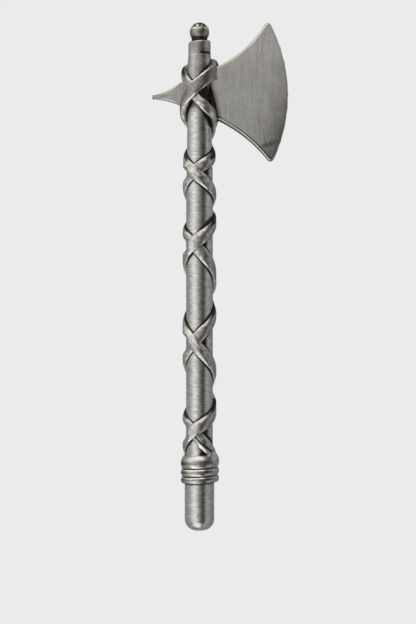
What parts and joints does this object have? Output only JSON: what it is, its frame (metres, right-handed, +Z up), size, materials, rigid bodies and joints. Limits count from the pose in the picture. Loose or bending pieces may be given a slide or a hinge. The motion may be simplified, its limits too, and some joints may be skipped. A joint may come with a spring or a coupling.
{
  "type": "kilt pin",
  "caption": "Cast pewter kilt pin shaped as a battle-axe with a flared blade, back spike, crossed straps, ringed ferrule and a pin clasp behind.",
  "frame": {"origin": "On the surface that the pin lies on, under the middle of its length and of its width from the spike's tip to the cutting edge.", "axes": "+Y along the haft from the butt to the finial, +X towards the blade, +Z up out of the face, away from the pin clasp."},
  "size_m": [0.0254, 0.095, 0.0101],
  "materials": {
    "haft_pewter": "antiqued satin pewter with fine turned lines",
    "dark_pewter": "glossy pewter under a dark patina",
    "brushed_pewter": "brushed pewter, grain along the haft",
    "strap_pewter": "antiqued pewter, edges rubbed bright",
    "ring_pewter": "polished pewter with dark grooves",
    "clasp_metal": "plain satin metal"
  },
  "bodies": {
    "root": {"haft": "haft_pewter", "finial": "dark_pewter", "axe_head": "brushed_pewter", "strap_right": "strap_pewter", "strap_left": "strap_pewter", "ferrule": "ring_pewter", "pin_clasp": "clasp_metal"}
  },
  "joints": []
}
